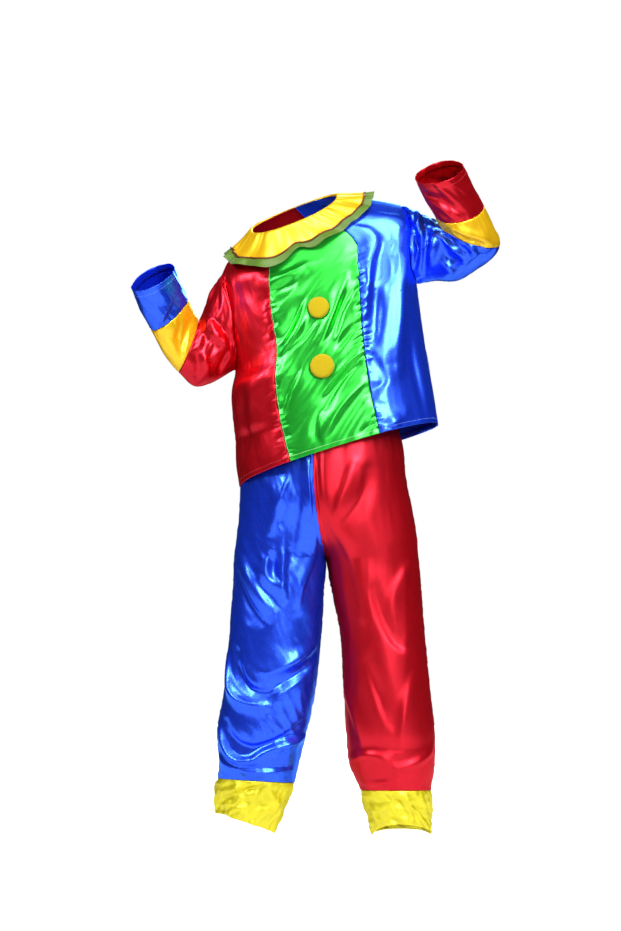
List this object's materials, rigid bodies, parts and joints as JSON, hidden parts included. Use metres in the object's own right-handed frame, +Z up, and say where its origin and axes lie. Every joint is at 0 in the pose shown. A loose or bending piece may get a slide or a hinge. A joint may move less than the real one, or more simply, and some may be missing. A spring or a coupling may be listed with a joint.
{
  "type": "clown costume",
  "caption": "Two-piece clown costume as worn: colour-blocked satin tunic with a round ruffled collar and domed buttons, and wide trousers with contrasting cuffs.",
  "frame": {"origin": "middle of the neck opening, where the wearer's neck and shoulders hold the costume up", "axes": "+Z up along the standing wearer, -Y the front, +X the wearer's left"},
  "size_m": [0.823, 0.38, 1.5263],
  "materials": {
    "satin_red": "shiny polyester satin",
    "satin_green": "shiny polyester satin",
    "satin_blue": "shiny polyester satin",
    "satin_yellow": "shiny polyester satin",
    "satin_lemon": "shiny polyester satin",
    "organza_green": "sheer ribbon, a little shiny",
    "piping_dark_red": "satin covered cord",
    "felt_yellow": "matte felt",
    "casing_red": "elastic gathered in a satin casing"
  },
  "bodies": {
    "root": {"button_lower": "felt_yellow", "button_upper": "felt_yellow", "collar_piping": "piping_dark_red", "collar_ribbon": "organza_green", "collar_ruffle": "satin_yellow", "leg_left_back": "satin_red", "leg_left_cuff": "satin_lemon", "leg_left_front": "satin_red", "leg_right_back": "satin_blue", "leg_right_cuff": "satin_lemon", "leg_right_front": "satin_blue", "sleeve_left_band": "satin_yellow", "sleeve_left_blue": "satin_blue", "sleeve_left_cuff": "satin_red", "sleeve_right_band": "satin_yellow", "sleeve_right_cuff": "satin_blue", "sleeve_right_red": "satin_red", "tunic_back_blue": "satin_blue", "tunic_back_red": "satin_red", "tunic_front_blue": "satin_blue", "tunic_front_green": "satin_green", "tunic_front_red": "satin_red", "waistband": "casing_red"}
  },
  "joints": []
}
